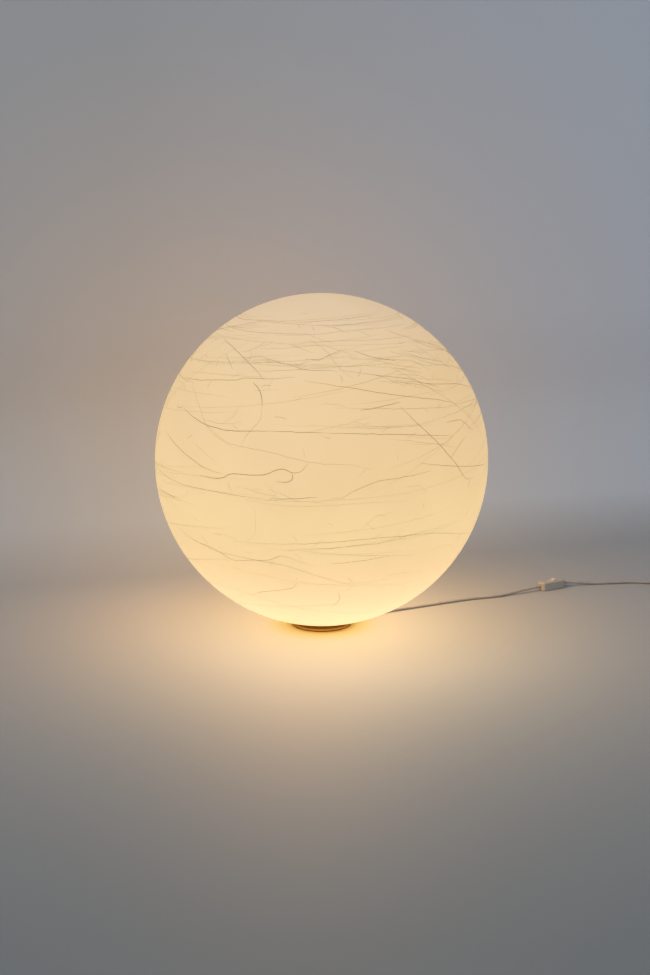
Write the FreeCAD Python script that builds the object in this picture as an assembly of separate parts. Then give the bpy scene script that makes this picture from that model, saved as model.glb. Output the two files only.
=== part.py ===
"""Globe lamp: a moulded resin globe that stands over its bulb on a small chromed dish,
with a flex, an in-line rocker switch and a two-pin plug.

Millimetres, +Z up. The origin is on the globe's axis, on the table. The flex leaves the
dish to the right and away from the front, and what is spare of it lies in a tied coil.
"""
import FreeCAD
import Part
import math
import os

os.makedirs("parts", exist_ok=True)
V = FreeCAD.Vector
UP = V(0, 0, 1)

# ---- driving dimensions -------------------------------------------------------------
globe_r = 250.0
globe_wall = 2.5
globe_hole_r = 39.0
globe_edge_z = 10.0  # the lowest edge of the globe's hole, over the table

dish_r = 45.0
dish_wall = 1.2
dish_bottom_z = 0.8
seat_z = 9.0  # the rim of the dish that carries the globe
spigot_r = 38.0  # the raised middle that keeps the globe's hole in place
spigot_top_z = 14.0
gasket_t = 0.7

foot_t = 1.2
cover_t = 0.8
ballast_z = (2.3, 7.5)
ballast_r = (21.0, 42.8)
screw_circle_r = 32.0
nipple_r = 5.0  # M10 x 1 hollow thread
nipple_z = (7.6, 26.0)

holder_r = 19.8
holder_top_z = 66.0
contact_z = 43.2  # where the bulb's centre contact meets the holder's
bulb_r = 29.8
bulb_top_z = contact_z + 107.0

flex_d = 4.6
flex_lie_z = flex_d / 2 + 0.05  # the height of the flex's axis where it lies on the table
flex_exit_z = 4.5
flex_exit_deg = 27.3  # from +X towards +Y
flex_start_r = 26.0  # where the sheath ends, inside the clamp
clamp_r = 31.0
bush_tip_r = 71.0

switch_len = 46.0
switch_w = 18.0
switch_h = 14.0
switch_wall = 1.5
switch_axis_z = 6.5  # the flex's axis in the housing, which is also the parting line
switch_at = (380.1, 188.4)
switch_deg = 30.0
rocker_deg = 12.0  # tilt each way from level

coil_start = V(592.0, 212.0, 3.6)
coil_r = 28.7  # the first half turn
coil_pitch = 5.15  # between turns side by side, and between layers
coil_half_turns = 3  # of a layer, before the half turn that climbs to the next
coil_layers = 4
coil_last_half_turns = 2  # of the top layer
coil_side = -1  # it turns to the right, as seen from above

plug_len = 35.0
plug_w = 35.0
plug_h = 13.6
plug_nose = 14.0
pin_r = 2.0  # of the bare end
pin_len = 19.0
pin_end_rounding = 1.5
pin_spacing = 18.6
pin_sleeve_r = 1.8
pin_sleeve_len = 10.0
pin_shank_r = 1.5  # in the sleeve and in the plug
pin_root = 7.5  # how far it goes into the plug, where a collar holds it
pin_collar_r = 2.6
pin_collar_len = 2.0
pin_gap = 0.02

globe_z = globe_edge_z + math.sqrt(globe_r**2 - globe_hole_r**2)


# ---- shapes that several pieces use -------------------------------------------------
def save(name, shape):
    """Writes one node's solid, or a group of separate solids, and prints its volume."""
    solids = shape.Solids
    if not solids or not shape.isValid():
        raise ValueError(f"{name} isn't a valid solid")
    if len(solids) == 1:
        shape = solids[0]
    shape.exportStep(f"parts/{name}.step")
    print(f"{name}: {len(solids)} solid(s), {shape.Volume:.0f} mm3")


def rounded_outline(corners):
    """A closed wire in the XZ plane through (x, z, radius) corners, rounded where the radius isn't 0."""
    stops = []
    for i, (x, z, radius) in enumerate(corners):
        here = V(x, 0, z)
        before = V(corners[i - 1][0], 0, corners[i - 1][1]) - here
        after_x, after_z, _ = corners[(i + 1) % len(corners)]
        after = V(after_x, 0, after_z) - here
        if radius == 0:
            stops.append((here, None, here))
            continue
        before.normalize()
        after.normalize()
        half = before.getAngle(after) / 2
        inward = before + after
        inward.normalize()
        reach = radius / math.tan(half)
        middle = here + inward * (radius / math.sin(half) - radius)
        stops.append((here + before * reach, middle, here + after * reach))
    edges = []
    for i, (start, middle, end) in enumerate(stops):
        if middle is not None:
            edges.append(Part.Arc(start, middle, end).toShape())
        following = stops[(i + 1) % len(stops)][0]
        if (following - end).Length > 1e-6:
            edges.append(Part.LineSegment(end, following).toShape())
    return Part.Wire(edges)


def turned(corners):
    """A solid of revolution about Z. The corners are (radius, z, rounding)."""
    return Part.Face(rounded_outline(corners)).revolve(V(0, 0, 0), UP, 360)


def ring(inner, outer, z0, z1):
    """A plain ring or, with an inner radius of 0, a plain disc."""
    disc = Part.makeCylinder(outer, z1 - z0, V(0, 0, z0))
    if inner == 0:
        return disc
    return disc.cut(Part.makeCylinder(inner, z1 - z0 + 2, V(0, 0, z0 - 1)))


def rounded_block(length, width, z0, z1, corner):
    """A block with rounded upright edges, centred on X and Y."""
    x = length / 2
    y = width / 2
    outline = rounded_outline([(-x, -y, corner), (x, -y, corner), (x, y, corner), (-x, y, corner)])
    outline.rotate(V(0, 0, 0), V(1, 0, 0), -90)
    face = Part.Face(outline)
    face.translate(V(0, 0, z0))
    return face.extrude(V(0, 0, z1 - z0))


def around_axis(shape, degrees):
    """A copy of the shape, turned about the lamp's axis."""
    copy = shape.copy()
    copy.rotate(V(0, 0, 0), UP, degrees)
    return copy


def countersunk_screw(radius, length, head_r, head_t):
    """A screw that points up: its flat head is at z = 0 and its end at z = length."""
    head = Part.makeCone(head_r, radius, head_t)
    return head.fuse(Part.makeCylinder(radius, length)).removeSplitter()


# ---- the globe ----------------------------------------------------------------------
def make_globe_shell():
    outer = Part.makeSphere(globe_r, V(0, 0, globe_z))
    inner = Part.makeSphere(globe_r - globe_wall, V(0, 0, globe_z))
    hole = Part.makeCylinder(globe_hole_r, 60)
    save("globe_shell", outer.cut(inner).cut(hole))


# ---- the base -----------------------------------------------------------------------
def bush_seat():
    """The slot that the flex's bush slides up into, open at the lower edge of the dish."""
    neck = 2.9
    slot = Part.makeCylinder(neck, 8, V(dish_r - 6, 0, flex_exit_z), V(1, 0, 0))
    below = Part.makeBox(8, 2 * neck, flex_exit_z, V(dish_r - 6, -neck, 0))
    return around_axis(slot.fuse(below), flex_exit_deg)


def make_base_dish():
    inside = dish_r - dish_wall
    under_seat = seat_z - dish_wall
    under_top = spigot_top_z - dish_wall
    corners = [
        (inside, dish_bottom_z, 0),
        (dish_r, dish_bottom_z, 0.4),
        (dish_r, seat_z, 1.4),
        (spigot_r, seat_z, 0.6),
        (spigot_r - 1.2, spigot_top_z, 1.6),
        (nipple_r + 0.2, spigot_top_z, 0),
        (nipple_r + 0.2, under_top, 0),
        (spigot_r - 2.4, under_top, 0.5),
        (spigot_r - 1.1, under_seat, 1.2),
        (inside, under_seat, 0.3),
    ]
    save("base_dish", turned(corners).cut(bush_seat()))


def make_seat_gasket():
    top = seat_z + gasket_t
    corners = [(38.8, seat_z, 0), (43.2, seat_z, 0), (43.2, top, 0.3), (38.8, top, 0.3)]
    save("seat_gasket", turned(corners))


clamp_recess = 2.3  # how deep the clamp's ears lie in the ballast
clamp_screw_y = 8.0


def screw_places():
    return [flex_exit_deg + 60 + 120 * i for i in range(3)]


def make_ballast_ring():
    low, high = ballast_z
    disc = ring(ballast_r[0], ballast_r[1], low, high)
    slot = Part.makeBox(24, 9.0, 10, V(ballast_r[0] - 1, -4.5, 0))
    recess = rounded_block(8.6, 22.6, low - 1, low + clamp_recess, 2.0)
    recess.translate(V(clamp_r, 0, 0))
    cuts = [around_axis(slot, flex_exit_deg), around_axis(recess, flex_exit_deg)]
    for degrees in screw_places():
        hole = Part.makeCylinder(1.5, 6, V(screw_circle_r, 0, low - 1))
        cuts.append(around_axis(hole, degrees))
    for side in (-clamp_screw_y, clamp_screw_y):
        hole = Part.makeCylinder(1.25, 5, V(clamp_r, side, low))
        cuts.append(around_axis(hole, flex_exit_deg))
    for cut in cuts:
        disc = disc.cut(cut)
    save("ballast_ring", disc)


def make_base_cover():
    cover_z = foot_t
    cover = ring(0, dish_r - dish_wall - 0.3, cover_z, cover_z + cover_t)
    for degrees in screw_places():
        hole = Part.makeCone(2.9, 1.6, cover_t + 0.02, V(screw_circle_r, 0, cover_z - 0.01))
        cover = cover.cut(around_axis(hole, degrees))
    relief = Part.makeCylinder(3.4, 12, V(40.0, 0, flex_exit_z), V(1, 0, 0))
    cover = cover.cut(around_axis(relief, flex_exit_deg))
    save("base_cover", cover)
    screws = []
    for degrees in screw_places():
        screw = countersunk_screw(1.45, 5.0, 2.75, cover_t)
        screw.translate(V(screw_circle_r, 0, cover_z))
        screws.append(around_axis(screw, degrees))
    save("cover_screws", Part.makeCompound(screws))
    corners = [(36.5, 0, 0.2), (42.0, 0, 0.2), (42.0, foot_t, 0), (36.5, foot_t, 0)]
    save("foot_ring", turned(corners))


def make_cord_bush():
    """Moulded round the flex: a flange each side of the dish's wall and a tapered tail."""
    bore = flex_d / 2 + 0.05
    profile = [
        (dish_r - dish_wall - 1.4, bore, 0),
        (bush_tip_r, bore, 0),
        (bush_tip_r, bore + 0.45, 0),
        (dish_r + 2.0, 3.3, 0),
        (dish_r + 0.1, 3.3, 0),
        (dish_r + 0.1, 2.8, 0),
        (dish_r - dish_wall - 0.1, 2.8, 0),
        (dish_r - dish_wall - 0.1, 3.1, 0),
        (dish_r - dish_wall - 1.4, 3.1, 0),
    ]
    bush = Part.Face(rounded_outline(profile)).revolve(V(0, 0, 0), V(1, 0, 0), 360)
    bush.translate(V(0, 0, flex_exit_z))
    save("cord_bush", around_axis(bush, flex_exit_deg))


def make_cord_clamp():
    """A saddle over the flex, in the slot of the ballast, with an ear each side for a screw."""
    low = ballast_z[0]
    ear_z = (low + clamp_recess - 1.2, low + clamp_recess - 0.1)
    saddle = rounded_block(8.0, 8.6, low + 0.1, 7.4, 1.0)
    ears = rounded_block(8.0, 22.0, ear_z[0], ear_z[1], 1.5)
    clamp = saddle.fuse(ears).removeSplitter()
    bore = Part.makeCylinder(flex_d / 2 + 0.05, 12, V(-6, 0, flex_exit_z), V(1, 0, 0))
    clamp = clamp.cut(bore)
    screws = []
    for side in (-clamp_screw_y, clamp_screw_y):
        clamp = clamp.cut(Part.makeCylinder(1.35, 6, V(0, side, 0)))
        shank = Part.makeCylinder(1.2, 3.7, V(0, side, ear_z[0]))
        head = Part.makeCylinder(2.2, 0.9, V(0, side, ear_z[0] - 0.95))
        screws.append(shank.fuse(head).removeSplitter())
    for name, piece in (("cord_clamp", clamp), ("clamp_screws", Part.makeCompound(screws))):
        piece.translate(V(clamp_r, 0, 0))
        save(name, around_axis(piece, flex_exit_deg))


def make_nipple():
    low, high = nipple_z
    save("threaded_nipple", ring(nipple_r - 1.0, nipple_r, low, high))
    under_top = spigot_top_z - dish_wall
    washer_z = under_top - 1.0
    save("nipple_washer", ring(nipple_r + 0.2, 10.0, washer_z, under_top))
    across_flats = 14.0
    corner_r = across_flats / 2 / math.cos(math.pi / 6)
    nut_t = 3.0
    corners = []
    for i in range(7):
        a = math.radians(60 * i)
        corners.append(V(corner_r * math.cos(a), corner_r * math.sin(a), washer_z - nut_t))
    nut = Part.Face(Part.makePolygon(corners)).extrude(V(0, 0, nut_t))
    save("nipple_nut", nut.cut(Part.makeCylinder(nipple_r + 0.05, 10, V(0, 0, washer_z - 5))))


def make_core_leads():
    """The flex's two insulated cores, from the clamped end up through the nipple."""
    cores = []
    for side in (-1.15, 1.15):
        path = smooth_path([
            V(flex_start_r, side, flex_exit_z),
            V(7.0, side, flex_exit_z),
            V(0.6, side, 5.6),
            V(0, side, 12.0),
            V(0, side, 34.6),
        ])
        core = Part.Wire(path).makePipeShell([circle_at(path, 1.0)], True, False)
        cores.append(around_axis(core, flex_exit_deg))
    save("core_leads", Part.makeCompound(cores))


# ---- the flex -----------------------------------------------------------------------
def smooth_path(points, least_radius=None):
    """Straight runs joined by tangent arcs, each as large as its two runs allow."""
    edges = []
    start = points[0]
    radii = []
    for before, corner, after in zip(points, points[1:], points[2:]):
        back = before - corner
        on = after - corner
        shorter = min(back.Length, on.Length)
        back.normalize()
        on.normalize()
        half_turn = (math.pi - back.getAngle(on)) / 2
        reach = 0.45 * shorter
        radius = reach / math.tan(half_turn)
        radii.append(radius)
        inward = back + on
        inward.normalize()
        middle = corner + inward * (radius / math.cos(half_turn) - radius)
        first = corner + back * reach
        last = corner + on * reach
        edges.append(Part.LineSegment(start, first).toShape())
        edges.append(Part.Arc(first, middle, last).toShape())
        start = last
    edges.append(Part.LineSegment(start, points[-1]).toShape())
    if least_radius is not None:
        print("  bend radii:", ", ".join(f"{r:.0f}" for r in radii))
        if min(radii) < least_radius:
            raise ValueError("a bend is tighter than the flex allows")
    return edges


def circle_at(edges, radius):
    """The section at the start of a path, square to it."""
    first = edges[0]
    start = first.valueAt(first.FirstParameter)
    direction = first.tangentAt(first.FirstParameter)
    return Part.Wire(Part.Circle(start, direction, radius).toShape())


def make_flex(name, points):
    edges = smooth_path(points, 5 * flex_d)
    length = sum(edge.Length for edge in edges)
    tube = Part.Wire(edges).makePipeShell([circle_at(edges, flex_d / 2)], True, False)
    save(name, tube)
    section = math.pi * flex_d**2 / 4
    print(f"  {length:.1f} mm long; volume over section times length: {tube.Volume / section / length:.5f}")
    return length


def along_exit(r, z):
    """A point over the line on which the flex leaves the base."""
    a = math.radians(flex_exit_deg)
    return V(r * math.cos(a), r * math.sin(a), z)


def along_switch(x, y, z):
    """A point of the switch's own frame (x along it, away from the lamp), in the lamp's."""
    a = math.radians(switch_deg)
    return V(
        switch_at[0] + x * math.cos(a) - y * math.sin(a),
        switch_at[1] + x * math.sin(a) + y * math.cos(a),
        z,
    )


lie = flex_lie_z
into_switch = 9.0  # how far the flex reaches into the switch's housing
lamp_side_route = [
    along_exit(flex_start_r, flex_exit_z),
    along_exit(88.0, flex_exit_z),
    V(134.0, 69.6, lie),
    V(191.0, 98.2, lie),
    V(232.0, 119.2, lie),
    V(262.0, 130.0, lie),
    V(286.0, 136.5, lie),
    V(308.0, 150.3, 3.0),
    along_switch(-switch_len / 2 - 24.0, 0, switch_axis_z),
    along_switch(-switch_len / 2 + into_switch, 0, switch_axis_z),
]
wall_side_route = [
    along_switch(switch_len / 2 - into_switch, 0, switch_axis_z),
    along_switch(switch_len / 2 + 9.0, 0, switch_axis_z),
    V(427.5, 206.6, 4.8),
    V(455.0, 211.5, lie),
    V(487.0, 215.0, lie),
    V(518.0, 220.5, lie),
    V(543.5, 215.6, lie),
    V(568.0, coil_start.y, coil_start.z),
    coil_start,
]
plug_axis_z = plug_h / 2 + 0.2
plug_face_x = 667.0


def coil_edges():
    """Half turns in four layers, in and out by turns. The half turn at which the spiral
    reverses is tilted, so that it climbs a layer. Returns the edges and the end point."""
    step = coil_pitch / 2
    radii = []
    climbs = []
    radius = coil_r
    inward = True
    for layer in range(coil_layers):
        count = coil_last_half_turns if layer == coil_layers - 1 else coil_half_turns
        for _ in range(count):
            radii.append(radius)
            climbs.append(0.0)
            radius += -step if inward else step
        if layer < coil_layers - 1:
            radii.append(radius)
            climbs.append(coil_pitch)
            inward = not inward
            radius += -step if inward else step
    edges = []
    here = coil_start
    heading = 1
    for radius, climb in zip(radii, climbs):
        across = V(0, coil_side * heading * 2 * radius, climb)
        there = here + across
        bulge = V(heading * across.Length / 2, 0, 0)
        edges.append(Part.Arc(here, (here + there) / 2 + bulge, there).toShape())
        here = there
        heading = -heading
    return edges, here, radii


def least_gap(edges, diameter):
    """The least gap between the turns of a tube along a path, measured on points of it."""
    step = 2.0
    path = Part.Wire(edges)
    points = path.discretize(Distance=step)
    apart = int(3 * diameter / step)
    least = 1e9
    for i, point in enumerate(points):
        for other in points[i + apart :]:
            least = min(least, point.distanceToPoint(other))
    return least - diameter


def make_coil():
    edges, end, radii = coil_edges()
    length = sum(edge.Length for edge in edges)
    coil = Part.Wire(edges).makePipeShell([circle_at(edges, flex_d / 2)], True, False)
    save("cord_coil", coil)
    section = math.pi * flex_d**2 / 4
    print("  turn radii:", ", ".join(f"{r:.1f}" for r in radii))
    print(f"  {length:.1f} mm long; volume over section times length: {coil.Volume / section / length:.5f}")
    print(f"  least gap to itself: {least_gap(edges, flex_d):.2f} mm")
    return length, end


def make_cord_tie():
    """A flat band round the turns, on the side where they lie squarely on each other."""
    step = coil_pitch / 2
    middle_y = coil_start.y - coil_r - step
    top = coil_start.z + coil_pitch * (coil_layers - 1)
    inner = coil_r - 3 * step
    column = coil_r - step
    outer = coil_r + step
    centres = [
        (column, coil_start.z),
        (outer, coil_start.z + 1.5 * coil_pitch),
        (column, top),
        (inner, top - 0.5 * coil_pitch),
        (inner, coil_start.z + 0.5 * coil_pitch),
    ]
    x = coil_start.x
    y = middle_y - 2.5
    outline = Part.makePolygon([V(x - r, y, z) for r, z in centres + centres[:1]])
    inside = outline.makeOffset2D(flex_d / 2 + 0.5)
    outside = outline.makeOffset2D(flex_d / 2 + 1.2)
    band = Part.Face(outside).cut(Part.Face(inside)).extrude(V(0, 5.0, 0))
    save("cord_tie", band)


# ---- the lampholder -----------------------------------------------------------------
def make_holder():
    base = spigot_top_z
    hole = nipple_r + 0.05
    cap = turned([
        (hole, base, 0),
        (11.0, base, 1.5),
        (holder_r, base + 12.0, 5.0),
        (holder_r, base + 18.0, 0),
        (holder_r - 1.8, base + 18.0, 0),
        (holder_r - 1.8, base + 12.5, 4.0),
        (9.2, base + 3.0, 1.0),
        (9.2, base + 9.0, 0.5),
        (hole, base + 9.0, 0),
    ])
    lock_hole = Part.makeCylinder(1.5, 12, V(0, hole - 1, base + 6), V(0, 1, 0))
    save("holder_cap", cap.cut(lock_hole))
    save("holder_lock_screw", Part.makeCylinder(1.4, 4.8, V(0, hole + 0.05, base + 6), V(0, 1, 0)))
    joint_z = base + 18.2
    neck_r = holder_r - 2.0
    body = turned([
        (neck_r - 1.8, joint_z - 4.5, 0),
        (neck_r, joint_z - 4.5, 0),
        (neck_r, joint_z, 0),
        (holder_r, joint_z, 0.4),
        (holder_r - 0.8, holder_top_z, 1.0),
        (14.5, holder_top_z, 0.5),
        (14.5, holder_top_z - 2.0, 0),
        (neck_r - 1.8, holder_top_z - 4.0, 0),
    ])
    for i in range(12):
        flute = Part.makeCylinder(1.2, 16.0, V(holder_r + 0.55, 0, joint_z + 6.0))
        body = body.cut(around_axis(flute, 30 * i))
    save("holder_body", body)
    insert_z = joint_z + 2.5
    insert = turned([
        (0, insert_z, 0),
        (15.8, insert_z, 0.6),
        (15.8, insert_z + 5.0, 0.6),
        (0, insert_z + 5.0, 0),
    ])
    for side in (-10.0, 10.0):
        insert = insert.cut(Part.makeCylinder(1.5, 12, V(side, 0, insert_z - 1)))
    for side in (-1.15, 1.15):
        core = Part.makeCylinder(1.06, 12, V(0, side, insert_z - 1))
        insert = insert.cut(around_axis(core, flex_exit_deg))
    save("holder_insert", insert)
    screws = []
    for side in (-10.0, 10.0):
        shank = Part.makeCylinder(1.4, 5.5, V(side, 0, insert_z - 0.7))
        head = Part.makeCylinder(2.6, 1.6, V(side, 0, insert_z - 1.7))
        slot = Part.makeBox(6, 0.7, 0.8, V(side - 3, -0.35, insert_z - 1.8))
        screws.append(shank.fuse(head).removeSplitter().cut(slot))
    save("holder_terminal_screws", Part.makeCompound(screws))
    shell_z = insert_z + 5.2
    save("holder_thread_shell", turned([
        (11.0, shell_z, 0),
        (13.9, shell_z, 0.6),
        (13.9, holder_top_z - 2.6, 0),
        (13.5, holder_top_z - 2.6, 0),
        (13.5, shell_z + 0.4, 0.2),
        (11.0, shell_z + 0.4, 0),
    ]))
    bends = [
        (-9.0, shell_z + 0.2),
        (-4.0, shell_z + 0.2),
        (-1.0, contact_z - 0.6),
        (4.0, contact_z - 0.4),
        (5.5, contact_z - 1.4),
    ]
    spine = Part.makePolygon([V(x, 0, z) for x, z in bends])
    strip = Part.Face(spine.makeOffset2D(0.2)).extrude(V(0, 5.0, 0))
    strip.translate(V(0, -2.5, 0))
    save("holder_centre_contact", strip)


# ---- the bulb -----------------------------------------------------------------------
def make_bulb():
    z = contact_z
    cap_r = 12.9
    save("bulb_centre_contact", turned([
        (0, z, 0),
        (3.4, z, 0.8),
        (4.6, z + 1.4, 0),
        (0, z + 1.4, 0),
    ]))
    save("bulb_cap_insulator", turned([
        (0, z + 1.45, 0),
        (4.8, z + 1.45, 0),
        (9.6, z + 4.6, 0.8),
        (9.6, z + 6.0, 0),
        (0, z + 6.0, 0),
    ]))
    save("bulb_cap_shell", turned([
        (9.65, z + 4.6, 0),
        (cap_r, z + 6.6, 0.6),
        (cap_r, z + 25.0, 0),
        (cap_r - 0.4, z + 25.0, 0),
        (cap_r - 0.4, z + 6.9, 0.4),
        (9.65, z + 5.1, 0),
    ]))
    board_z = z + 58.0
    save("bulb_housing", turned([
        (cap_r - 0.5, z + 18.0, 0),
        (cap_r - 0.5, z + 25.1, 0),
        (cap_r + 0.5, z + 25.1, 0.4),
        (cap_r + 3.5, z + 38.0, 12.0),
        (bulb_r - 0.6, board_z - 1.0, 6.0),
        (bulb_r - 0.6, board_z + 1.5, 0),
        (bulb_r - 2.4, board_z + 1.5, 0),
        (bulb_r - 2.4, board_z - 0.5, 4.0),
        (cap_r + 1.4, z + 38.5, 12.0),
        (cap_r - 2.4, z + 18.0, 0),
    ]))
    save("bulb_led_board", ring(0, bulb_r - 3.2, board_z - 0.3, board_z + 1.3))
    seam_z = board_z + 1.6
    centre_z = bulb_top_z - bulb_r
    low_r = bulb_r - 1.0
    wall = 1.4
    outer_low = V(low_r, 0, seam_z)
    outer_mid = V(bulb_r, 0, centre_z)
    outer_bend = V(bulb_r * math.cos(math.pi / 4), 0, centre_z + bulb_r * math.sin(math.pi / 4))
    inner_r = bulb_r - wall
    inner_bend = V(inner_r * math.cos(math.pi / 4), 0, centre_z + inner_r * math.sin(math.pi / 4))
    outline = Part.Wire([
        Part.LineSegment(outer_low, outer_mid).toShape(),
        Part.Arc(outer_mid, outer_bend, V(0, 0, bulb_top_z)).toShape(),
        Part.LineSegment(V(0, 0, bulb_top_z), V(0, 0, bulb_top_z - wall)).toShape(),
        Part.Arc(V(0, 0, bulb_top_z - wall), inner_bend, V(inner_r, 0, centre_z)).toShape(),
        Part.LineSegment(V(inner_r, 0, centre_z), V(low_r - wall, 0, seam_z)).toShape(),
        Part.LineSegment(V(low_r - wall, 0, seam_z), outer_low).toShape(),
    ])
    save("bulb_diffuser", Part.Face(outline).revolve(V(0, 0, 0), UP, 360))


# ---- the in-line switch -------------------------------------------------------------
def to_switch(shape):
    """Moves a shape from the switch's own frame to its place on the table."""
    shape.rotate(V(0, 0, 0), UP, switch_deg)
    shape.translate(V(switch_at[0], switch_at[1], 0))
    return shape


rocker_pivot_z = 10.6
rocker_r = 7.9  # of the rocker's ends, about its pin
rocker_w = 9.0
window_len = 2 * rocker_r + 0.4
window_w = rocker_w + 0.6
pin_d = 1.6


def housing_half(z0, z1, edge_radius, top):
    """Half of the housing: a tray with rounded outer edges and the flex's two openings."""
    block = rounded_block(switch_len, switch_w, z0, z1, 5.0)
    outer_z = z1 if top else z0
    rim = []
    for edge in block.Edges:
        box = edge.BoundBox
        if abs(box.ZMin - outer_z) < 1e-3 and abs(box.ZMax - outer_z) < 1e-3:
            rim.append(edge)
    block = block.makeFillet(edge_radius, rim)
    wall = switch_wall
    hollow_z0 = z0 - 1 if top else z0 + wall
    hollow_z1 = z1 - wall if top else z1 + 1
    hollow = rounded_block(switch_len - 2 * wall, switch_w - 2 * wall, hollow_z0, hollow_z1, 3.5)
    bore_start = V(-switch_len / 2 - 1, 0, switch_axis_z)
    bore = Part.makeCylinder(flex_d / 2 + 0.1, switch_len + 2, bore_start, V(1, 0, 0))
    return block.cut(hollow).cut(bore)


def make_switch_housing():
    base_top = switch_axis_z - 0.05
    top_low = switch_axis_z + 0.05
    ceiling = switch_h - switch_wall
    base = housing_half(0.0, base_top, 1.2, False)
    top = housing_half(top_low, switch_h, 2.4, True)
    window = rounded_block(window_len, window_w, switch_h - 3, switch_h + 3, 0.8)
    top = top.cut(window)
    screw_x = 11.6
    screw_y = 5.4
    boss_r = 2.4
    screws = []
    for x, y in ((-screw_x, screw_y), (screw_x, -screw_y)):
        boss = Part.makeCylinder(boss_r, base_top - switch_wall, V(x, y, switch_wall))
        base = base.fuse(boss)
        base = base.cut(Part.makeCylinder(1.3, 12, V(x, y, -1)))
        base = base.cut(Part.makeCylinder(2.2, 1.2, V(x, y, -0.01)))
        post = Part.makeCylinder(boss_r, ceiling - top_low, V(x, y, top_low))
        top = top.fuse(post)
        top = top.cut(Part.makeCylinder(1.1, 4.6, V(x, y, switch_axis_z - 0.5)))
        shank = Part.makeCylinder(1.0, 9.0, V(x, y, 0.6))
        head = Part.makeCylinder(2.0, 0.9, V(x, y, 0.25))
        slot = Part.makeBox(5, 0.5, 0.4, V(x - 2.5, y - 0.25, 0.24))
        screws.append(shank.fuse(head).removeSplitter().cut(slot))
    ear_t = 1.5
    ear_low = rocker_pivot_z - 1.6
    for y in (-window_w / 2 - ear_t, window_w / 2):
        top = top.fuse(Part.makeBox(4.0, ear_t, ceiling - ear_low, V(-2.0, y, ear_low)))
    pin_hole = Part.makeCylinder(pin_d / 2 + 0.02, 13.2, V(0, -6.6, rocker_pivot_z), V(0, 1, 0))
    top = top.cut(pin_hole).removeSplitter()
    grips = []
    over_flex = switch_axis_z + flex_d / 2 + 0.05
    under_flex = switch_axis_z - flex_d / 2 - 0.05
    for side in (-1, 1):
        x = side * (switch_len / 2 - 6.5)
        grips.append(Part.makeBox(3.0, 10.0, 2.0, V(x - 1.5, -5.0, over_flex)))
        rib = Part.makeBox(3.0, 10.0, under_flex - switch_wall, V(x - 1.5, -5.0, switch_wall))
        base = base.fuse(rib)
    save("switch_base_shell", to_switch(base.removeSplitter()))
    save("switch_top_shell", to_switch(top))
    save("switch_screws", to_switch(Part.makeCompound(screws)))
    save("switch_cord_grips", to_switch(Part.makeCompound(grips)))


def make_switch_rocker():
    end_places = []
    for degrees in (36.0, 16.0, -4.0):
        a = math.radians(degrees)
        end_places.append(V(rocker_r * math.cos(a), 0, rocker_r * math.sin(a)))
    tip, side, low = end_places
    far_tip = V(-tip.x, 0, tip.z)
    far_side = V(-side.x, 0, side.z)
    far_low = V(-low.x, 0, low.z)
    dip = V(0, 0, 3.3)
    belly = V(0, 0, -2.4)
    outline = Part.Wire([
        Part.Arc(tip, side, low).toShape(),
        Part.LineSegment(low, V(3.0, 0, belly.z)).toShape(),
        Part.LineSegment(V(3.0, 0, belly.z), V(-3.0, 0, belly.z)).toShape(),
        Part.LineSegment(V(-3.0, 0, belly.z), far_low).toShape(),
        Part.Arc(far_low, far_side, far_tip).toShape(),
        Part.LineSegment(far_tip, dip).toShape(),
        Part.LineSegment(dip, tip).toShape(),
    ])
    rocker = Part.Face(outline).extrude(V(0, rocker_w, 0))
    rocker.translate(V(0, -rocker_w / 2, 0))
    rocker = rocker.cut(Part.makeCylinder(pin_d / 2 + 0.05, 12, V(0, -6, 0), V(0, 1, 0)))
    bridge = Part.makeBox(9.0, 3.0, 0.4, V(-4.5, -1.5, belly.z - 0.45))
    for name, piece in (("switch_rocker", rocker), ("switch_contact_bridge", bridge)):
        piece.rotate(V(0, 0, 0), V(0, 1, 0), -rocker_deg)
        piece.translate(V(0, 0, rocker_pivot_z))
        save(name, to_switch(piece))
    pin = Part.makeCylinder(pin_d / 2, 12.8, V(0, -6.4, rocker_pivot_z), V(0, 1, 0))
    save("switch_rocker_pin", to_switch(pin))


def make_switch_terminals():
    """A brass terminal block near each end."""
    pieces = []
    for side in (-1, 1):
        block = Part.makeBox(5.0, 3.6, 4.0, V(side * 11.0 - 2.5, -1.8 + side * 4.4, switch_wall + 0.1))
        pieces.append(block)
    save("switch_terminals", to_switch(Part.makeCompound(pieces)))


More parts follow.
